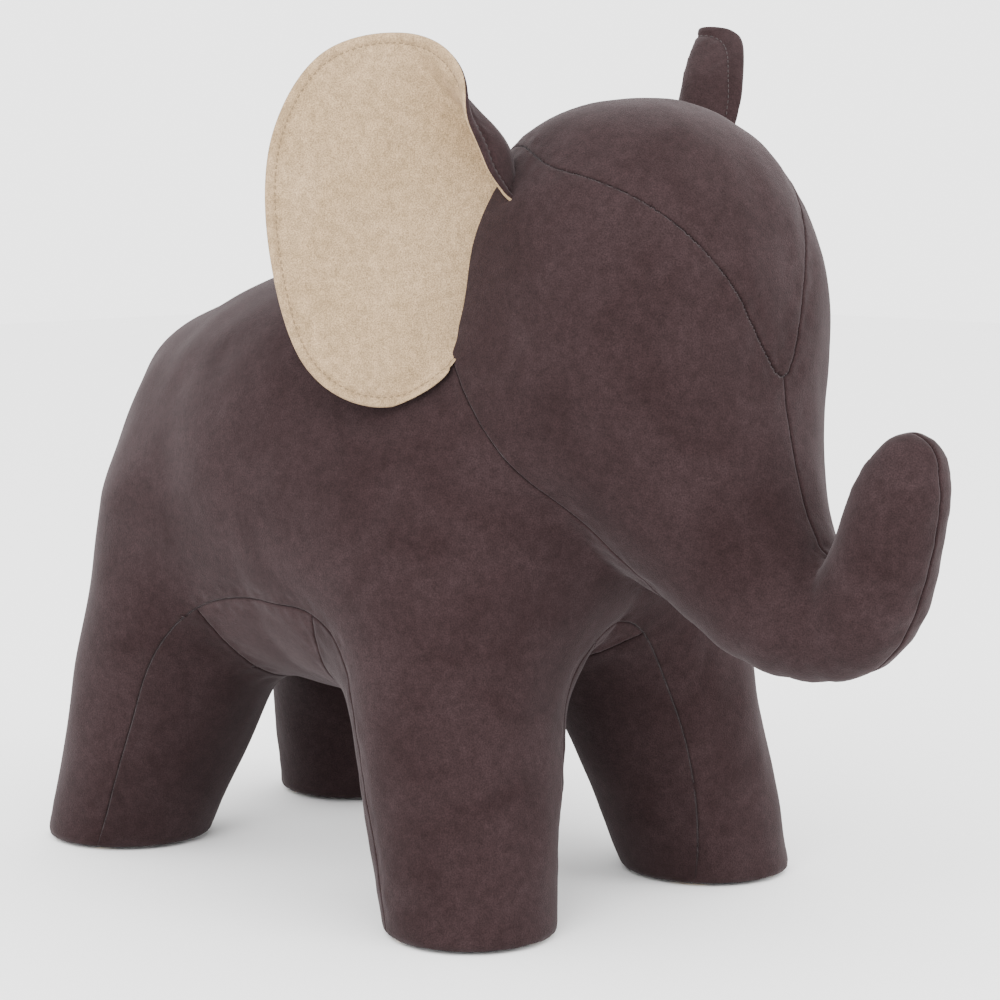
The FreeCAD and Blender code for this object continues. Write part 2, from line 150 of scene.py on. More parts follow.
def blob(p, centre, radii, power, lean=0.0):
    """Roughly the distance to a rounded box-like ellipsoid, leaning about the Y axis."""
    q = p - np.array(centre)
    if lean:
        c, s = math.cos(lean), math.sin(lean)
        q = np.stack([q[..., 0] * c + q[..., 2] * s, q[..., 1], q[..., 2] * c - q[..., 0] * s], -1)
    q = np.abs(q) / np.array(radii) + 1e-9
    size = (q ** power).sum(-1) ** (1 / power)
    steepness = q ** (power - 1) * (size[..., None] ** (1 - power)) / np.array(radii)
    return (size - 1) / (np.linalg.norm(steepness, axis=-1) + 1e-12)


def round_cone(p, start, end, start_radius, end_radius):
    start, end = np.array(start, float), np.array(end, float)
    along = end - start
    share = np.clip((p - start) @ along / (along @ along), 0, 1)
    gap = p - (start + share[..., None] * along)
    return np.linalg.norm(gap, axis=-1) - (start_radius + (end_radius - start_radius) * share)


def through(stations, steps):
    """Points on a smooth curve (Catmull-Rom) from the second station to the last but one."""
    found = []
    for a, b, c, d in zip(stations, stations[1:], stations[2:], stations[3:]):
        for t in np.arange(steps) / steps:
            found.append(0.5 * (2 * b + (c - a) * t + (2 * a - 5 * b + 4 * c - d) * t ** 2
                                + (3 * b - a - 3 * c + d) * t ** 3))
    return np.array(found + [stations[-2]])


def curve_points(stations, steps):
    """Points on a smooth curve through all the stations, ends included."""
    s = np.array(stations, float)
    return through(np.vstack([2 * s[0] - s[1], s, 2 * s[-1] - s[-2]]), steps)


def leg_axis(end, sign, z):
    """x and y of a leg's centre line at height z."""
    share = z / LEG_TOP_Z
    foot, top = FOOT[end], LEG_TOP[end]
    return foot[0] + (top[0] - foot[0]) * share, sign * (foot[1] + (top[1] - foot[1]) * share)


def body_field(p):
    torso = smooth_min(blob(p, **RUMP), blob(p, **CHEST), TORSO_BLEND)
    breast = np.linalg.norm(p - np.array(BREAST["centre"]), axis=-1) - BREAST["radius"]
    torso = smooth_min(torso, breast, TORSO_BLEND)
    legs = None
    for end in ("front", "rear"):
        for side, sign in SIDES:
            foot = (FOOT[end][0], sign * FOOT[end][1], 0)
            top = (LEG_TOP[end][0], sign * LEG_TOP[end][1], LEG_TOP_Z)
            cone = round_cone(p, foot, top, FOOT_RADIUS, LEG_TOP_RADIUS[end])
            legs = cone if legs is None else np.minimum(legs, cone)
    legs = smooth_max(legs, SOLE - p[..., 2], SOLE_ROUNDING)
    return smooth_min(torso, legs, LEG_BLEND)


def head_field(p):
    skull = blob(p, **SKULL)
    muzzle = round_cone(p, MUZZLE["start"], MUZZLE["end"], MUZZLE["start_radius"], MUZZLE["end_radius"])
    skull = smooth_min(skull, muzzle, MUZZLE["blend"])
    stations = curve_points(trunk_stations(), 3)
    trunk = None
    for (x0, z0, r0), (x1, z1, r1) in zip(stations, stations[1:]):
        piece = round_cone(p, (x0, 0, z0), (x1, 0, z1), r0, r1)
        trunk = piece if trunk is None else np.minimum(trunk, piece)
    return smooth_min(skull, trunk, TRUNK_BLEND)


def neck_field(p):
    start, end = np.array(NECK["start"], float), np.array(NECK["end"], float)
    along = end - start
    reach = np.linalg.norm(along)
    forward = along / reach
    up = np.array([-forward[2], 0, forward[0]])
    share = np.clip((p - start) @ forward / reach, 0, 1)
    gap = p - (start + share[..., None] * along)
    height = gap @ up
    height = np.where(height < 0, height * (1 + NECK["flatten"] * share), height)
    radius = NECK["radius"] * (1 - NECK["narrow"] * share * share)
    return np.sqrt((gap @ forward) ** 2 + gap[..., 1] ** 2 + height ** 2) - radius


def animal_field(p):
    rise = np.clip((p[..., 2] - CREASE_LOW) / (CREASE_HIGH - CREASE_LOW), 0, 1)
    rise = np.maximum(rise, np.clip((CREASE_FRONT - p[..., 0]) / CREASE_LENGTH, 0, 1))
    rise = rise * rise * (3 - 2 * rise)
    neck_blend = NECK_BLEND[0] + (NECK_BLEND[1] - NECK_BLEND[0]) * rise
    head_blend = HEAD_BLEND[0] + (HEAD_BLEND[1] - HEAD_BLEND[0]) * rise
    body = smooth_min(body_field(p), neck_field(p), neck_blend)
    return smooth_min(body, head_field(p), head_blend)


# ------------------------------------------------------------------------------ seam surfaces
# Each is positive on one side of a seam and negative on the other, in about millimetres.

NECK_SEAM = dict(rise=0.78, reach=367, dip=19, dip_width=45)
ARCH = dict(side_top=216, front_top=205, front_half=74, rear_top=190, rear_half=70)
LEG_PANEL_REACH = 101
GUSSET = dict(x=135, length=116, half=95, rear_half=58, taper=110, far_share=0.85, lowest=350)


def neck_seam(p):
    """Positive on the head."""
    x, y, z = p[..., 0], p[..., 1], p[..., 2]
    low = np.clip((320 - z) / 60, 0, 1)
    dip = NECK_SEAM["dip"] * low * np.exp(-(y / NECK_SEAM["dip_width"]) ** 2)
    return (x + NECK_SEAM["rise"] * z - NECK_SEAM["reach"] + dip) / math.hypot(1, NECK_SEAM["rise"])


def arch_seam(p):
    """Positive on the underside and inner legs: arches between the legs on all four sides."""
    x, y, z = p[..., 0], np.abs(p[..., 1]), p[..., 2]
    front_x, front_y = leg_axis("front", 1, z)
    rear_x, rear_y = leg_axis("rear", 1, z)
    front = -0.804 * (x - front_x) - 0.595 * (y - front_y) + 9 + 0.015 * z
    rear = 0.8 * (x - rear_x) - 0.6 * (y - rear_y) + 7
    side = smooth_min(rear, ARCH["side_top"] - z, 90)
    side = smooth_min(side, front, 40)

    def end_arch(top, half):
        return half * (1 - (np.clip(z, 0, None) / top) ** 2.4 - (y / half) ** 2)

    ahead = np.clip((x - front_x) / 30, 0, 1)
    behind = np.clip((rear_x - x) / 30, 0, 1)
    seam = side * (1 - ahead) + end_arch(ARCH["front_top"], ARCH["front_half"]) * ahead
    return seam * (1 - behind) + end_arch(ARCH["rear_top"], ARCH["rear_half"]) * behind


def leg_panel_seam(end):
    """Positive near a leg, so that it parts the inner leg panels from the belly panel."""
    def seam(p):
        x, y = leg_axis(end, 1, p[..., 2])
        return LEG_PANEL_REACH - np.hypot(p[..., 0] - x, np.abs(p[..., 1]) - y)
    return seam


def gusset_seam(p):
    """Positive on the forehead panel: half an ellipse in plan, tapering behind."""
    x, y = p[..., 0] - GUSSET["x"], np.abs(p[..., 1])
    y = np.where(p[..., 1] > 0, y / GUSSET["far_share"], y)
    ahead = GUSSET["half"] * (1 - np.hypot(x / GUSSET["length"], y / GUSSET["half"]))
    fade = 0.5 + 0.5 * np.cos(math.pi * np.clip(-x / GUSSET["taper"], 0, 1))
    behind = GUSSET["rear_half"] + (GUSSET["half"] - GUSSET["rear_half"]) * fade - y
    return np.where(x > 0, ahead, behind)


def centre_seam(p):
    """Positive on the animal's left."""
    return p[..., 1]


def on_head(p):
    return neck_seam(p) > 0


def on_gusset(p):
    return on_head(p) & (gusset_seam(p) > 0) & (p[..., 2] > GUSSET["lowest"])


def under(p):
    return ~on_head(p) & (arch_seam(p) > 0)


PANELS = ["body_coat", "belly_panel", "inner_leg_panel_front_right", "inner_leg_panel_front_left",
          "inner_leg_panel_rear_right", "inner_leg_panel_rear_left", "forehead_gusset",
          "head_panel_right", "head_panel_left"]


def panel_of(p):
    """Number of the panel that each point is on."""
    left = p[..., 1] > 0
    front_leg, rear_leg = leg_panel_seam("front")(p) > 0, leg_panel_seam("rear")(p) > 0
    panel = np.zeros(len(p), int)
    panel[under(p)] = 1
    panel[under(p) & front_leg] = 2
    panel[under(p) & front_leg & left] = 3
    panel[under(p) & rear_leg] = 4
    panel[under(p) & rear_leg & left] = 5
    panel[on_head(p)] = 7
    panel[on_head(p) & left] = 8
    panel[on_gusset(p)] = 6
    return panel


# ---------------------------------------------------------------------------- triangle meshes


def surface_of(values, axes, step):
    """Triangles, facing outwards, of the surface where the values on a grid are zero."""
    band = 3 * step
    grid = openvdb.FloatGrid(band)
    grid.copyFromArray(np.clip(values, -band, band).astype(np.float32))
    points, triangles, quads = grid.convertToPolygons(isovalue=0.0, adaptivity=0.0)
    points = points.astype(float) * step + [a[0] for a in axes]
    quads = quads.astype(int)
    faces = np.vstack([triangles.astype(int), quads[:, [0, 1, 2]], quads[:, [0, 2, 3]]])
    corner = points[faces]
    if np.einsum("ij,ij->", corner[:, 0], np.cross(corner[:, 1], corner[:, 2])) < 0:
        faces = faces[:, ::-1]
    return points, faces


def mesh_of(field, step, low, high):
    """Triangles of the surface where field is zero, on a grid of that step."""
    axes = [np.arange(a, b + step, step) for a, b in zip(low, high)]
    values = np.empty([len(a) for a in axes], np.float32)
    plane = np.stack(np.meshgrid([0.0], axes[1], axes[2], indexing="ij"), -1)[0]
    for i, x in enumerate(axes[0]):
        plane[..., 0] = x
        values[i] = field(plane)
    return surface_of(values, axes, step)


def slope(field, p, reach=0.5):
    g = np.empty_like(p)
    for axis in range(3):
        shift = np.zeros(3)
        shift[axis] = reach
        g[:, axis] = (field(p + shift) - field(p - shift)) / (2 * reach)
    return g


def settle(fields, p, rounds=3):
    """Move points onto the surface where every field is zero."""
    for _ in range(rounds):
        for field in fields:
            g = slope(field, p)
            p = p - (field(p) / np.maximum((g * g).sum(1), 1e-6))[:, None] * g
    return p


def edges_of(faces):
    """Unique edges, and for each face the numbers of its edges 01, 12 and 20."""
    pairs = np.sort(np.vstack([faces[:, [0, 1]], faces[:, [1, 2]], faces[:, [2, 0]]]), axis=1)
    edges, owner = np.unique(pairs, axis=0, return_inverse=True)
    return edges, owner.reshape(3, -1).T


def divide(faces, owner, new_point):
    """Divide each face at the new points on its edges (-1 where an edge has none)."""
    split = new_point[owner]
    count = (split >= 0).sum(1)
    made = [faces[count == 0]]
    # one new point: turn the face so that it is on edge 01
    turn = np.array([[0, 1, 2], [1, 2, 0], [2, 0, 1]])
    rows = np.where(count == 1)[0]
    order = turn[(split[rows] >= 0).argmax(1)]
    a, b, c = np.take_along_axis(faces[rows], order, 1).T
    m = np.take_along_axis(split[rows], order, 1)[:, 0]
    made += [np.stack([a, m, c], 1), np.stack([m, b, c], 1)]
    # two new points: turn the face so that edge 20 has none
    rows = np.where(count == 2)[0]
    order = turn[((split[rows] < 0).argmax(1) + 1) % 3]
    a, b, c = np.take_along_axis(faces[rows], order, 1).T
    m, n = np.take_along_axis(split[rows], order, 1)[:, :2].T
    made += [np.stack([m, b, n], 1), np.stack([a, m, n], 1), np.stack([a, n, c], 1)]
    rows = np.where(count == 3)[0]
    a, b, c = faces[rows].T
    m, n, o = split[rows].T
    made += [np.stack([a, m, o], 1), np.stack([m, b, n], 1), np.stack([o, n, c], 1),
             np.stack([m, n, o], 1)]
    return np.vstack(made)


def cut_along(points, faces, surface, seam, where, pinned, snap=1.3):
    """Put an edge line along a seam, in the region where `where` is true of an edge's middle."""
    value = seam(points)
    g = slope(seam, points)
    away = np.abs(value) / np.maximum(np.linalg.norm(g, axis=1), 1e-6)
    close = (away < snap) & ~pinned & where(points)
    points = points.copy()
    points[close] = settle([seam, surface], points[close])
    value[close | (away < 0.15)] = 0
    edges, owner = edges_of(faces)
    a, b = value[edges[:, 0]], value[edges[:, 1]]
    crossed = (a * b < 0) & where((points[edges[:, 0]] + points[edges[:, 1]]) / 2)
    a, b = a[crossed], b[crossed]
    share = (a / (a - b))[:, None]
    ends = points[edges[crossed]]
    fresh = settle([seam, surface], ends[:, 0] * (1 - share) + ends[:, 1] * share, 2)
    new_point = np.full(len(edges), -1)
    new_point[crossed] = len(points) + np.arange(crossed.sum())
    pinned = np.concatenate([pinned | close, np.ones(len(fresh), bool)])
    return np.vstack([points, fresh]), divide(faces, owner, new_point), pinned


def seam_edges(faces, panel):
    """Edges with different panels on their two sides."""
    edges, owner = edges_of(faces)
    lowest = np.full(len(edges), 99)
    highest = np.full(len(edges), -1)
    for column in range(3):
        np.minimum.at(lowest, owner[:, column], panel)
        np.maximum.at(highest, owner[:, column], panel)
    return edges[lowest != highest]


def distance_to(lines, points, reach):
    """Distance from each point to the nearest of some edges (pairs of places), up to reach."""
    step = 1.0
    samples, source = [], []
    for number, (a, b) in enumerate(lines):
        count = max(1, int(np.linalg.norm(b - a) / step))
        for share in (np.arange(count) + 0.5) / count:
            samples.append(a + (b - a) * share)
            source.append(number)
    tree = KDTree(len(samples))
    for number, place in enumerate(samples):
        tree.insert(place, number)
    tree.balance()
    low, high = lines.min((0, 1)) - reach, lines.max((0, 1)) + reach
    found = np.full(len(points), float(reach))
    for number in np.where(((points > low) & (points < high)).all(1))[0]:
        place = points[number]
        for _, sample, gap in tree.find_n(place, 2):
            if gap < reach:
                a, b = lines[source[sample]]
                along = b - a
                share = min(1, max(0, (place - a) @ along / max(along @ along, 1e-9)))
                exact = np.linalg.norm(place - a - along * share)
                found[number] = min(found[number], exact)
    return found


def refine(points, faces, surface, lines, band, longest):
    """Halve edges longer than `longest` that are within `band` of the seam lines."""
    edges, owner = edges_of(faces)
    gap = distance_to(lines, points, band + 2)
    length = np.linalg.norm(points[edges[:, 0]] - points[edges[:, 1]], axis=1)
    wanted = (gap[edges].min(1) < band) & (length > longest)
    middle_points = settle([surface], points[edges[wanted]].mean(1), 2)
    new_point = np.full(len(edges), -1)
    new_point[wanted] = len(points) + np.arange(wanted.sum())
    return np.vstack([points, middle_points]), divide(faces, owner, new_point)


def build_skin():
    step = 5.0
    low, high = np.array(cad_low) / MM - 20, np.array(cad_high) / MM + 20
    points, faces = mesh_of(animal_field, step, low, high)
    points = settle([animal_field], points, 2)
    pinned = np.zeros(len(points), bool)
    cuts = [
        (neck_seam, lambda p: p[..., 0] > -60),
        (arch_seam, lambda p: neck_seam(p) < 2),
        (leg_panel_seam("front"), lambda p: arch_seam(p) > -0.5),
        (leg_panel_seam("rear"), lambda p: arch_seam(p) > -0.5),
        (gusset_seam, lambda p: (neck_seam(p) > -0.5) & (p[..., 2] > GUSSET["lowest"])),
        (centre_seam, lambda p: ((neck_seam(p) > -0.5) & ((gusset_seam(p) < 0.5)
                                                        | (p[..., 2] < GUSSET["lowest"])))
         | (under(p) & ((leg_panel_seam("front")(p) > -1) | (leg_panel_seam("rear")(p) > -1)))),
    ]
    for seam, where in cuts:
        points, faces, pinned = cut_along(points, faces, animal_field, seam, where, pinned)
    for band, longest in ((9.0, 3.2), (5.0, 1.7)):
        panel = panel_of(points[faces].mean(1))
        lines = points[seam_edges(faces, panel)]
        points, faces = refine(points, faces, animal_field, lines, band, longest)
    panel = panel_of(points[faces].mean(1))
    return points, faces, panel


def object_from(name, points, faces, material):
    mesh = bpy.data.meshes.new(name)
    mesh.from_pydata((points * MM).tolist(), [], faces.tolist())
    mesh.polygons.foreach_set("use_smooth", [True] * len(faces))
    mesh.materials.append(material)
    mesh.update()
    made = bpy.data.objects.new(name, mesh)
    bpy.context.scene.collection.objects.link(made)
    return made


def part_of(points, faces, chosen):
    """The chosen faces with only the points that they use."""
    used, numbers = np.unique(faces[chosen], return_inverse=True)
    return points[used], numbers.reshape(-1, 3)


SEAM = dict(width=2.6, depth=1.5, wide=13.0, wide_depth=0.8)
PUCKER = dict(place=9, spread=9, wave=15, depth=0.35)
# slow and quick unevenness of the stuffed skin: wave length and depth
UNEVEN = ((85, 0.8), (34, 0.25))
TRUNK_FOLD = dict(depth=1.6, width=4.0)
CLOTH = 1.3
EAR_CLOTH = 0.7
# folds where the trunk turns up out of the muzzle, each side: x, y, z along the fold
TRUNK_FOLDS = [[(282, 4, 279), (286, 15, 273), (289, 26, 264), (292, 34, 252)],
               [(262, 6, 300), (266, 20, 292), (269, 33, 280)]]


def uneven(p, wave, seed):
    """A smooth random value from about -1 to 1 at each point, changing over about one wave length."""
    random = np.random.default_rng(seed)
    total = np.zeros(len(p))
    for _ in range(9):
        way = random.normal(size=3)
        way /= np.linalg.norm(way)
        turns = 2 * math.pi / (wave * random.uniform(0.7, 1.5))
        total += np.sin(p @ way * turns + random.uniform(0, 6.28))
    return total / 3


def stitched(points, faces, panel):
    """Press the seams in: a tight rolled groove in a shallow valley with puckers, on a slightly uneven skin."""
    lines = points[seam_edges(faces, panel)]
    gap = distance_to(lines, points, 40)
    inward = -slope(animal_field, points)
    inward /= np.linalg.norm(inward, axis=1)[:, None]
    roll = 1 - np.clip(gap / SEAM["width"], 0, 1)
    depth = SEAM["depth"] * (1 - np.sqrt(np.clip(1 - roll ** 2, 0, 1)))
    depth = depth + SEAM["wide_depth"] * np.exp(-(gap / SEAM["wide"]) ** 2)
    puckers = np.exp(-((gap - PUCKER["place"]) / PUCKER["spread"]) ** 2)
    puckers = puckers * uneven(points, PUCKER["wave"], 1) * PUCKER["depth"]
    above_sole = np.clip((points[:, 2] - SOLE - 2) / 25, 0, 1)
    slow, quick = [size * uneven(points, wave, seed) for seed, (wave, size) in enumerate(UNEVEN, 2)]
    depth = (depth + puckers) * (0.2 + 0.8 * above_sole) + above_sole * (slow + quick)
    for fold in TRUNK_FOLDS:
        for sign in (-1, 1):
            route = np.array(fold, float) * (1, sign, 1)
            near = distance_to(np.stack([route[:-1], route[1:]], 1), points, 12)
            depth = depth + TRUNK_FOLD["depth"] * np.exp(-(near / TRUNK_FOLD["width"]) ** 2)
    return points + inward * depth[:, None]


def thicken(piece, thickness):
    cloth = piece.modifiers.new("cloth", "SOLIDIFY")
    cloth.thickness = thickness * MM
    cloth.offset = -1


# ---------------------------------------------------------------------------------- materials


class Material:
    """A procedural material with short calls for the nodes it needs."""

    def __init__(self, name, roughness, **settings):
        self.made = bpy.data.materials.new(name)
        self.made.use_nodes = True
        self.nodes = self.made.node_tree.nodes
        self.shader = self.nodes["Principled BSDF"]
        self.shader.inputs["Roughness"].default_value = roughness
        for socket, value in settings.items():
            self.shader.inputs[socket.replace("_", " ")].default_value = value
        self.place = self.nodes.new("ShaderNodeTexCoord").outputs["Object"]

    def link(self, source, target):
        self.made.node_tree.links.new(source, target)

    def stretched(self, scale):
        mapping = self.nodes.new("ShaderNodeMapping")
        mapping.inputs["Scale"].default_value = scale
        self.link(self.place, mapping.inputs["Vector"])
        return mapping.outputs["Vector"]

    def noise(self, scale, detail=3.0, distortion=0.0, along=None):
        texture = self.nodes.new("ShaderNodeTexNoise")
        texture.inputs["Scale"].default_value = scale
        texture.inputs["Detail"].default_value = detail
        texture.inputs["Distortion"].default_value = distortion
        self.link(along or self.place, texture.inputs["Vector"])
        return texture.outputs["Fac"]

    def mix(self, factor, a, b):
        """Colour a where the factor is low and b where it is high."""
        ramp = self.nodes.new("ShaderNodeValToRGB")
        ramp.color_ramp.elements[0].position = 0.3
        ramp.color_ramp.elements[1].position = 0.7
        ramp.color_ramp.elements[0].color = (*a, 1)
        ramp.color_ramp.elements[1].color = (*b, 1)
        self.link(factor, ramp.inputs["Fac"])
        return ramp.outputs["Color"]

    def multiply(self, a, b):
        product = self.nodes.new("ShaderNodeVectorMath")
        product.operation = "MULTIPLY"
        self.link(a, product.inputs[0])
        self.link(b, product.inputs[1])
        return product.outputs["Vector"]

    def colour(self, source):
        self.link(source, self.shader.inputs["Base Color"])

    def bump(self, height, strength, distance):
        node = self.nodes.new("ShaderNodeBump")
        node.inputs["Strength"].default_value = strength
        node.inputs["Distance"].default_value = distance * MM
        self.link(height, node.inputs["Height"])
        previous = self.shader.inputs["Normal"].links
        if previous:
            self.link(previous[0].from_socket, node.inputs["Normal"])
        self.link(node.outputs["Normal"], self.shader.inputs["Normal"])


def scaled(colour, tone):
    return tuple(part * tone for part in colour)


def velour_of(name, tone,
              colour=(0.0172, 0.0095, 0.0096), light=(0.0250, 0.0152, 0.0155),
              sheen=0.10):
    """Short brushed pile: patches where the nap lies differently, a fine grain and a soft sheen."""
    cloth = Material(name, 0.95, Sheen_Weight=sheen, Sheen_Roughness=0.42,
                     Sheen_Tint=(0.80, 0.72, 0.74, 1), Specular_IOR_Level=0.07)
    patches = cloth.mix(cloth.noise(16, 4, 0.8), scaled(colour, tone), scaled(light, tone))
    streaks = cloth.mix(cloth.noise(150, 3, 0.3), (0.84, 0.83, 0.83), (1.14, 1.13, 1.15))
    grain = cloth.mix(cloth.noise(1100, 2), (0.66, 0.64, 0.65), (1.34, 1.32, 1.34))
    cloth.colour(cloth.multiply(cloth.multiply(patches, streaks), grain))
    cloth.bump(cloth.noise(900, 3), 0.75, 0.45)
    cloth.bump(cloth.noise(120, 3), 0.30, 0.45)
    return cloth.made


TAUPE = velour_of("velour_taupe", 1.0)
TAUPE_HEAD = velour_of("velour_taupe_head", 0.97)
TAUPE_LEG = velour_of("velour_taupe_inner_leg", 0.86)
TAUPE_BELLY = velour_of("velour_taupe_belly", 1.12)
BEIGE = velour_of("velour_beige", 1.0, (0.276, 0.195, 0.106), (0.324, 0.234, 0.135), 0.08)
PLY_DARK, PLY_PALE = (0.44, 0.28, 0.14), (0.66, 0.48, 0.28)
TAUPE_THREAD = Material("thread_taupe", 0.6, Base_Color=(0.018, 0.011, 0.011, 1)).made
BEIGE_THREAD = Material("thread_beige", 0.6, Base_Color=(0.17, 0.115, 0.06, 1)).made


def foam_material():
    foam = Material("foam_cream", 0.95, Specular_IOR_Level=0.1)
    foam.colour(foam.mix(foam.noise(260, 2), (0.62, 0.53, 0.30), (0.78, 0.70, 0.46)))
    foam.bump(foam.noise(700, 2), 0.7, 0.6)
    return foam.made


def felt_material():
    felt = Material("felt_grey", 0.97, Specular_IOR_Level=0.05)
    felt.colour(felt.mix(felt.noise(500, 4, 1.5), (0.05, 0.05, 0.055), (0.13, 0.13, 0.135)))
    felt.bump(felt.noise(600, 4, 1.0), 0.6, 0.4)
    return felt.made


def wood_material(name, dark, pale, grain):
    """Grain is how finely the wood varies along x, y and z, per metre."""
    wood = Material(name, 0.62, Specular_IOR_Level=0.3)
    along = wood.stretched(grain)
    wood.colour(wood.mix(wood.noise(1, 5, 1.2, along), dark, pale))
    wood.bump(wood.noise(4, 3, 0.4, along), 0.25, 0.2)
    return wood.made


def steel_material():
    steel = Material("steel_zinc", 0.34, Metallic=1.0)
    steel.colour(steel.mix(steel.noise(90, 3), (0.50, 0.51, 0.53), (0.66, 0.67, 0.69)))
    steel.bump(steel.noise(1500, 2), 0.1, 0.1)
    return steel.made


FOAM = foam_material()
FELT = felt_material()
# plies show as bands across the thickness: z for the base board, y for boards on edge, x for ribs
PLY_FLAT = wood_material("plywood_flat", PLY_DARK, PLY_PALE, (9, 60, 420))
PLY_LONG = wood_material("plywood_long", PLY_DARK, PLY_PALE, (9, 420, 60))
PLY_CROSS = wood_material("plywood_cross", PLY_DARK, PLY_PALE, (420, 9, 60))
PINE = wood_material("pine", (0.58, 0.36, 0.17), (0.78, 0.58, 0.34), (120, 120, 7))
STEEL = steel_material()

PANEL_MATERIALS = {"body_coat": TAUPE, "belly_panel": TAUPE_BELLY, "forehead_gusset": TAUPE}

# --------------------------------------------------------------------------------- the covers

points, faces, panel = build_skin()
skin = stitched(points, faces, panel)
for number, name in enumerate(PANELS):
    p, f = part_of(skin, faces, panel == number)
    material = TAUPE_LEG if "inner_leg" in name else PANEL_MATERIALS.get(name, TAUPE_HEAD)
    cover = object_from("velour_" + name, p, f, material)
    thicken(cover, CLOTH)
    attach(cover, "pouf")
    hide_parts(name)

# ------------------------------------------------------------------------------- foam inserts

FOAM_GAP = 6.0
FOAM_STEP = 8.0
BOARD_TOP = 243
TIMBER = ("base_board", "spine_board", "rear_rib", "front_rib", "head_board")
POST_RADIUS = 25
NECK_FOAM_DEPTH = 45


def board_field(p, node):
    """Distance from a board, with a little room round it."""
    low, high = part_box(node)
    centre, half = (np.array(low) + high) / 2 / MM, (np.array(high) - low) / 2 / MM + 1
    return (np.abs(p - centre) - half).max(-1)


def trunk_start(p):
    """Positive on the trunk's own foam."""
    return 0.62 * (p[..., 0] - 215) - 0.78 * (p[..., 2] - 272)


def far_from_legs(p):
    return -np.maximum(leg_panel_seam("front")(p), leg_panel_seam("rear")(p))


def foam_regions():
    """For each foam node, the fields that are positive inside its share of the animal."""
    regions = {
        "seat_foam": [lambda p: p[..., 2] - BOARD_TOP, lambda p: -neck_seam(p) - NECK_FOAM_DEPTH],
        "belly_foam": [lambda p: BOARD_TOP - p[..., 2], far_from_legs, lambda p: -neck_seam(p)],
        "neck_foam": [lambda p: -neck_seam(p), lambda p: neck_seam(p) + NECK_FOAM_DEPTH,
                      lambda p: p[..., 2] - BOARD_TOP],
        "trunk_foam": [neck_seam, trunk_start],
    }
    for side, sign in SIDES:
        regions["head_foam_" + side] = [neck_seam, lambda p: -trunk_start(p),
                                        lambda p, sign=sign: sign * p[..., 1]]
        for end in ("front", "rear"):
            regions["leg_foam_%s_%s" % (end, side)] = [
                lambda p: BOARD_TOP - p[..., 2], leg_panel_seam(end), lambda p: p[..., 2] - 15,
                lambda p, sign=sign: sign * p[..., 1],
                lambda p, end=end: np.hypot(p[..., 0] - leg_axis(end, 1, p[..., 2])[0],
                                            np.abs(p[..., 1]) - leg_axis(end, 1, p[..., 2])[1]) - POST_RADIUS]
    return regions


def foam_pieces():
    low, high = np.array(cad_low) / MM - 12, np.array(cad_high) / MM + 12
    axes = [np.arange(a, b, FOAM_STEP) for a, b in zip(low, high)]
    p = np.stack(np.meshgrid(*axes, indexing="ij"), -1)
    inside = animal_field(p) + FOAM_GAP
    for board in TIMBER:
        inside = np.maximum(inside, -board_field(p, board))
    for node, shares in foam_regions().items():
        value = inside
        for share in shares:
            value = np.maximum(value, 0.8 - share(p))
        piece = object_from(node + "_insert", *surface_of(value, axes, FOAM_STEP), FOAM)
        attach(piece, "pouf")
        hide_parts(node)


foam_pieces()

# --------------------------------------------------------------------------------------- ears
# An ear is drawn flat: u runs out from the head and z up. It stands on a plane and its upper front
# part is folded forwards. Stations are given for rising z.

EAR_OUT = (-0.574, 0.819)
EAR_ROOT = (63, 103.5)
EAR_OUTLINE = [(8, 385), (70, 365), (120, 395), (143, 475), (140, 550), (105, 605), (45, 618), (-10, 590),
               (-54, 540), (-45, 495), (-15, 430)]
EAR_CENTRE = (62, 495)
FOLD_HEIGHTS = (500, 516, 545, 574, 590, 608, 622)
FOLD_PLACES = {"right": (-14, -11, -5, 24, 38, 51, 63), "left": (-16, -13, -6, 20, 36, 58, 76)}
# how many degrees the part beyond the fold is turned
FOLD_TURNS = {"right": (100, 130, 142, 94, 70, 48, 20), "left": (100, 128, 132, 100, 96, 92, 90)}
FOLD_LOW, FOLD_FADE = 470, 40
FOLD_RADIUS = 11
RIM = dict(half=2.3, stitch=7.0, pad_half=4.3, pad_reach=20)
# how much higher the top of the fold is pulled on each side
LIFT = {"right": 0, "left": 13}
LIFT_LOW, LIFT_HIGH = 530, 620
# and how far forwards it leans
LEAN = {"right": 0, "left": 9}
LEAN_LOW, LEAN_HIGH = 570, 628
# where the ear leaves the head: above and inwards of these it is a free flap, below the last it
# lies on the skin, and elsewhere its edge is tucked under the skin
FLAP = dict(low=512, low_fade=16, out=12, out_fade=8, corner=412, corner_fade=26)
TUCK, CLEARANCE = 6, 6
# how far each ring of points is from the outline
RINGS = [0, 0.5, 1.2, 2.2, 3.4, 4.8, 6.0, 7.0, 8.0, 9.4, 11.2, 13.5, 17, 21, 26, 32]
INNER_RINGS = 12
EAR_STEPS = 300


def station(z, heights, values):
    """A value that follows the stations, rounded off over 20 mm."""
    return sum(np.interp(z + shift, heights, values) for shift in (-10, -5, 0, 5, 10)) / 5


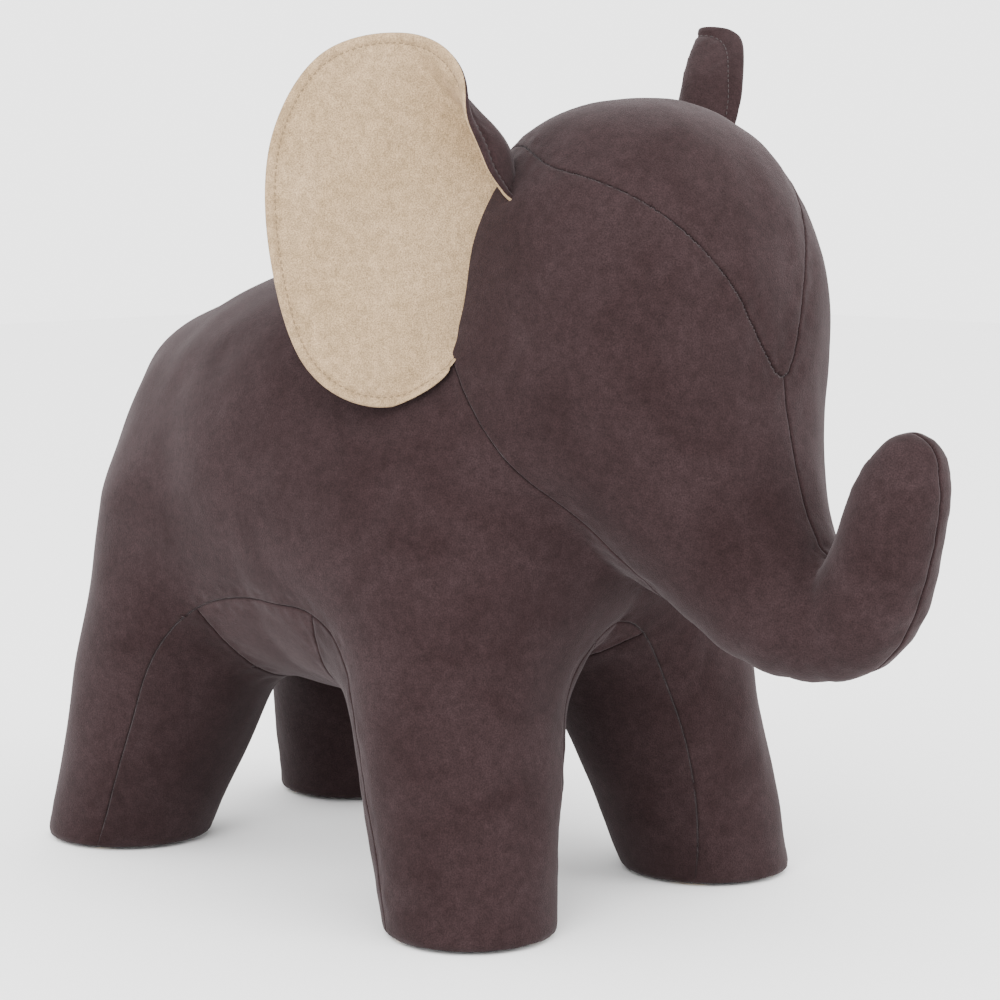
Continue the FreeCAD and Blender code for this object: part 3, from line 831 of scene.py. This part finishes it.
def ear_place(flat, side):
    """Where points of the flat ear are once it is folded and sewn on."""
    sign = dict(SIDES)[side]
    u, z = flat[:, 0], flat[:, 1]
    fold = station(z, FOLD_HEIGHTS, FOLD_PLACES[side])
    turn = np.radians(station(z, FOLD_HEIGHTS, FOLD_TURNS[side])) * np.clip((z - FOLD_LOW) / FOLD_FADE, 0, 1)
    beyond = np.maximum(fold - u, 0)
    bent = np.minimum(beyond, FOLD_RADIUS * turn)
    rest = beyond - bent
    back = FOLD_RADIUS * np.sin(bent / FOLD_RADIUS) + rest * np.cos(turn)
    ahead = FOLD_RADIUS * (1 - np.cos(bent / FOLD_RADIUS)) + rest * np.sin(turn)
    out = np.maximum(u, fold) - back
    rise = np.clip((z - LIFT_LOW) / (LIFT_HIGH - LIFT_LOW), 0, 1)
    z = z + LIFT[side] * rise * rise * (3 - 2 * rise)
    rise = np.clip((z - LEAN_LOW) / (LEAN_HIGH - LEAN_LOW), 0, 1)
    ahead = ahead + LEAN[side] * rise
    spots = np.stack([u, flat[:, 1], np.zeros(len(u))], 1)
    ahead = ahead + 1.6 * uneven(spots, 120, 5 + sign) + 0.35 * uneven(spots, 40, 8 + sign)
    x = EAR_ROOT[0] + out * EAR_OUT[0] + ahead * EAR_OUT[1]
    y = EAR_ROOT[1] + out * EAR_OUT[1] - ahead * EAR_OUT[0]
    return np.stack([x, sign * y, z], 1)


def ear_frame(flat, side):
    """Places on the middle of the ear, kept off the head, and which way its front faces."""
    place = ear_place(flat, side)
    wide = ear_place(flat + (0.5, 0), side) - ear_place(flat - (0.5, 0), side)
    tall = ear_place(flat + (0, 0.5), side) - ear_place(flat - (0, 0.5), side)
    front = np.cross(tall, wide) * -dict(SIDES)[side]
    front /= np.linalg.norm(front, axis=1)[:, None]
    depth = animal_field(place)
    away = slope(animal_field, place)
    away /= np.linalg.norm(away, axis=1)[:, None]
    # the sewn edge lies just under the skin; the free flap stays clear of it
    u, z = flat[:, 0], flat[:, 1]
    free = np.clip((z - FLAP["low"]) / FLAP["low_fade"], 0, 1)
    free = free * np.clip((FLAP["out"] - u) / FLAP["out_fade"], 0, 1)
    free = np.maximum(free, np.clip((FLAP["corner"] - z) / FLAP["corner_fade"], 0, 1))
    least = free * (TUCK + CLEARANCE) - TUCK
    return place + away * np.clip(least - depth, 0, None)[:, None], front


def evenly(stations, count):
    """That many points evenly spaced round a smooth closed curve."""
    s = np.array(stations, float)
    dense = through(np.vstack([s[-1], s, s[:2]]), 24)
    along = np.concatenate([[0], np.cumsum(np.linalg.norm(np.diff(dense, axis=0), axis=1))])
    marks = np.linspace(0, along[-1], count, endpoint=False)
    return np.stack([np.interp(marks, along, dense[:, 0]), np.interp(marks, along, dense[:, 1])], 1)


def half_thickness(edge_gap, flat):
    """Half the ear's thickness at that distance from its outline."""
    rim = RIM["half"] * np.sqrt(1 - (1 - np.clip(edge_gap / RIM["half"], 0, 1)) ** 2)
    dip = 1.5 * np.exp(-((edge_gap - RIM["stitch"]) / 1.5) ** 2)
    rise = np.clip((edge_gap - RIM["stitch"]) / RIM["pad_reach"], 0, 1)
    pad = (RIM["pad_half"] - RIM["half"]) * rise * rise * (3 - 2 * rise)
    spots = np.stack([flat[:, 0], flat[:, 1], np.zeros(len(flat))], 1)
    puckers = 0.3 * uneven(spots, 9, 12) * np.exp(-((edge_gap - 10) / 5) ** 2)
    return rim - dip + pad + puckers


def ear_grid():
    """The flat ear as rings from the outline to the centre, with each point's distance to the outline."""
    outline = evenly(EAR_OUTLINE, EAR_STEPS)
    centre = np.array(EAR_CENTRE, float)
    reach = np.linalg.norm(outline - centre, axis=1)[:, None]
    inward = (centre - outline) / reach
    rings = [outline + inward * gap for gap in RINGS]
    last = rings[-1]
    for number in range(1, INNER_RINGS):
        rings.append(last + (centre - last) * (number / INNER_RINGS))
    flat = np.vstack(rings + [centre[None]])
    lines = np.stack([outline, np.roll(outline, -1, axis=0)], 1)
    lines = np.concatenate([lines, np.zeros((len(lines), 2, 1))], 2)
    spots = np.concatenate([flat, np.zeros((len(flat), 1))], 1)
    return flat, distance_to(lines, spots, 60), len(rings)


def ring_faces(first, last, start=0):
    """Triangles between rings, counted from ring `first`, closing on the centre point after ring `last`."""
    made = []
    around = np.arange(EAR_STEPS)
    following = (around + 1) % EAR_STEPS
    for ring in range(first, last):
        a, b = ring * EAR_STEPS + around, ring * EAR_STEPS + following
        made += [np.stack([a, b, b + EAR_STEPS], 1), np.stack([a, b + EAR_STEPS, a + EAR_STEPS], 1)]
    a, b = last * EAR_STEPS + around, last * EAR_STEPS + following
    centre = np.full(EAR_STEPS, (last + 1) * EAR_STEPS)
    made.append(np.stack([a, b, centre], 1))
    return np.vstack(made)


def thread_along(route, outward, radius=0.42, stitch=3.3, pitch=4.6):
    """Stitches of thread lying along a closed route of points, each end diving into the cloth."""
    steps = np.linalg.norm(np.roll(route, -1, axis=0) - route, axis=1)
    along = np.concatenate([[0], np.cumsum(steps)])
    closed, out = np.vstack([route, route[:1]]), np.vstack([outward, outward[:1]])
    vertices, sides = [], []
    for start in np.arange(0, along[-1] - stitch, pitch):
        marks = start + stitch * np.array([0, 0.2, 0.5, 0.8, 1])
        spine = np.stack([np.interp(marks, along, closed[:, k]) for k in range(3)], 1)
        lift = np.stack([np.interp(marks, along, out[:, k]) for k in range(3)], 1)
        spine = spine + lift * np.array([-0.5, 0.15, 0.3, 0.15, -0.5])[:, None]
        forward = spine[-1] - spine[0]
        forward /= np.linalg.norm(forward)
        across = np.cross(forward, lift[2])
        for place in spine:
            for turn in np.arange(5) * 2 * math.pi / 5:
                vertices.append(place + radius * (across * math.cos(turn) + lift[2] * math.sin(turn)))
        base = len(vertices) - 25
        for ring in range(4):
            for k in range(5):
                a, b = base + ring * 5 + k, base + ring * 5 + (k + 1) % 5
                sides += [(a, b, b + 5), (a, b + 5, a + 5)]
    return np.array(vertices), np.array(sides)


def make_ear(side, sign, grid):
    flat, edge_gap, ring_count = grid
    middle_place, front = ear_frame(flat, side)
    half = half_thickness(edge_gap, flat)[:, None]
    whole = ring_faces(0, ring_count - 1)
    inner = [number for number, gap in enumerate(RINGS) if gap > 8.5][0]
    core = ring_faces(inner, ring_count - 1)
    flip = slice(None, None, sign)
    front_skin, back_skin = middle_place + front * half, middle_place - front * half
    front_cloth = object_from("velour_ear_front_" + side, front_skin, whole[:, flip], BEIGE)
    back_cloth = object_from("velour_ear_back_" + side, back_skin, whole[:, ::-1][:, flip], TAUPE)
    pieces = [(front_cloth, "beige_velour"), (back_cloth, "taupe_velour")]
    for piece, _ in pieces:
        thicken(piece, EAR_CLOTH)
    core_half = np.maximum(half - 1.1, 0.3)
    shift = len(flat)
    around = inner * EAR_STEPS + np.arange(EAR_STEPS)
    following = inner * EAR_STEPS + (np.arange(EAR_STEPS) + 1) % EAR_STEPS
    wall = np.vstack([np.stack([following, around, around + shift], 1),
                      np.stack([following, around + shift, following + shift], 1)])
    both = np.vstack([core, core[:, ::-1] + shift, wall])[:, flip]
    layers = np.vstack([middle_place + front * core_half, middle_place - front * core_half])
    used, numbers = np.unique(both, return_inverse=True)
    pad = object_from("wadding_ear_" + side, layers[used], numbers.reshape(-1, 3), FOAM)
    pieces.append((pad, "foam"))
    stitch_ring = RINGS.index(RIM["stitch"])
    row = slice(stitch_ring * EAR_STEPS, (stitch_ring + 1) * EAR_STEPS)
    for skin_points, way, name, material in ((front_skin, front, "front", BEIGE_THREAD),
                                             (back_skin, -front, "back", TAUPE_THREAD)):
        v, f = thread_along(skin_points[row], way[row])
        pieces.append((object_from("stitching_ear_%s_%s" % (name, side), v, f, material), None))
    for piece, finish in pieces:
        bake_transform(piece)
    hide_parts("ear_front_" + side)
    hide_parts("ear_back_" + side)
    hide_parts("ear_pad_" + side)


flat_ear = ear_grid()
for side, sign in SIDES:
    make_ear(side, sign, flat_ear)

# --------------------------------------------------------------------------------------- tail

# x, z, radius from inside the rump to the tip
TAIL = [(-338, 349, 9), (-352, 342, 9), (-362, 322, 8.4), (-366, 290, 8.0), (-368, 262, 8.6),
        (-369, 244, 11.5), (-368, 233, 8.0)]


def tail_field(p):
    stations = curve_points(TAIL, 4)
    found = None
    for (x0, z0, r0), (x1, z1, r1) in zip(stations, stations[1:]):
        piece = round_cone(p, (x0, 0, z0), (x1, 0, z1), r0, r1)
        found = piece if found is None else np.minimum(found, piece)
    # a seam runs down each side, and a wrapped neck sets off the tuft
    seam = 0.9 * np.exp(-((p[..., 0] + 366) / 1.6) ** 2) * np.clip((p[..., 2] - 236) / 10, 0, 1)
    neck = 1.3 * np.exp(-((p[..., 2] - 259) / 2.6) ** 2)
    return found + seam + neck


p, f = mesh_of(tail_field, 2.0, (-384, -16, 216), (-320, 16, 366))
tail = object_from("velour_tail", settle([tail_field], p, 2), f, TAUPE)
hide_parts("tail")
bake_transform(tail)

# ---------------------------------------------------------------- frame, feet and steel parts

FINISHES = [("base_board", PLY_FLAT), ("foot_disc", PLY_FLAT), ("spine_board", PLY_LONG),
            ("head_board", PLY_LONG), ("rear_rib", PLY_CROSS), ("front_rib", PLY_CROSS),
            ("leg_post", PINE), ("foot_pad", FELT), ("neck_bracket", STEEL), ("leg_bolts", STEEL),
            ("leg_washers", STEEL), ("screws", STEEL), ("bracket_bolts", STEEL)]
for node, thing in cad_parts.items():
    for word, finish in FINISHES:
        if word in node:
            thing.data.materials.clear()
            thing.data.materials.append(finish)

# --------------------------------------------------------------------------- floor and light

floor_mesh = bpy.data.meshes.new("floor")
FLOOR = 6.0
corners = [(x * FLOOR, y * FLOOR, 0) for x, y in ((-1, -1), (1, -1), (1, 1), (-1, 1))]
floor_mesh.from_pydata(corners, [], [(0, 1, 2, 3)])
floor = bpy.data.objects.new("floor", floor_mesh)
bpy.context.scene.collection.objects.link(floor)
paint = bpy.data.materials.new("floor_paint")
paint.use_nodes = True
paint.node_tree.nodes["Principled BSDF"].inputs["Base Color"].default_value = (0.93, 0.93, 0.93, 1)
paint.node_tree.nodes["Principled BSDF"].inputs["Roughness"].default_value = 0.9
floor_mesh.materials.append(paint)

world = bpy.data.worlds.new("studio")
world.use_nodes = True
world.node_tree.nodes["Background"].inputs["Color"].default_value = (1, 1, 1, 1)
world.node_tree.nodes["Background"].inputs["Strength"].default_value = 3.2
bpy.context.scene.world = world


def softbox(name, place, aim, size, power):
    light = bpy.data.lights.new(name, "AREA")
    light.shape = "SQUARE"
    light.size = size
    light.energy = power
    made = bpy.data.objects.new(name, light)
    made.location = place
    made.rotation_euler = (Vector(aim) - Vector(place)).to_track_quat("-Z", "Y").to_euler()
    bpy.context.scene.collection.objects.link(made)


softbox("key", (1.2, -2.6, 2.2), (0, 0, 0.3), 1.6, 80)
softbox("fill", (2.6, 1.0, 1.6), (0, 0, 0.3), 1.6, 35)
